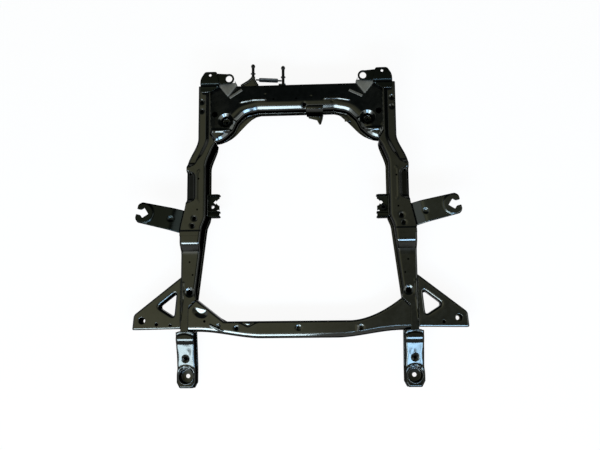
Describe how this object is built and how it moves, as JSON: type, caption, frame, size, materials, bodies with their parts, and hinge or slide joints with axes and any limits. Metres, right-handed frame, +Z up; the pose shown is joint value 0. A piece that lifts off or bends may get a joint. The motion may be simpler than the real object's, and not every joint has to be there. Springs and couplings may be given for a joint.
{
  "type": "front subframe",
  "caption": "Front subframe of a car: a ring of welded black-coated stampings with an arched rear crossmember, stepped rails, triangular ears, claw brackets and arms ending in mounting cups.",
  "frame": {"origin": "middle of the bounding box in plan, on the ground under the cups and the crossmember", "axes": "+X across the car to the picture's right, +Y to the rear crossmember, +Z up"},
  "size_m": [1.01, 0.996, 0.115],
  "materials": {
    "black_coat": "glossy black electro-coat",
    "cup_coat": "satin black electro-coat",
    "coated_steel": "blackened steel",
    "damper_rubber": "matte black rubber"
  },
  "bodies": {
    "root": {"rear_crossmember_upper": "black_coat", "rear_crossmember_lower": "black_coat", "left_rear_rail_upper": "black_coat", "right_rear_rail_upper": "black_coat", "left_front_rail_upper": "black_coat", "right_front_rail_upper": "black_coat", "left_rail_lower": "black_coat", "right_rail_lower": "black_coat", "front_beam_upper": "black_coat", "front_beam_lower": "black_coat", "left_ear_upper": "black_coat", "right_ear_upper": "black_coat", "left_ear_lower": "black_coat", "right_ear_lower": "black_coat", "left_front_arm_upper": "black_coat", "right_front_arm_upper": "black_coat", "left_front_arm_lower": "black_coat", "right_front_arm_lower": "black_coat", "left_mount_cup": "cup_coat", "right_mount_cup": "cup_coat", "left_claw_bracket": "black_coat", "right_claw_bracket": "black_coat", "left_side_bracket": "black_coat", "right_side_bracket": "black_coat", "left_side_bracket_nut": "coated_steel", "right_side_bracket_nut": "coated_steel", "left_rear_mount_plate": "black_coat", "right_rear_mount_plate": "black_coat", "left_ring_tab": "black_coat", "right_ring_tab": "black_coat", "left_corner_gusset": "black_coat", "right_corner_gusset": "black_coat", "engine_mount_bracket": "black_coat", "hose_bracket": "black_coat", "hanger_bracket": "black_coat", "hanger_foot": "black_coat", "long_hanger_rod": "coated_steel", "short_hanger_rod": "coated_steel", "damper_wire": "coated_steel", "damper_sleeve": "damper_rubber"}
  },
  "joints": []
}
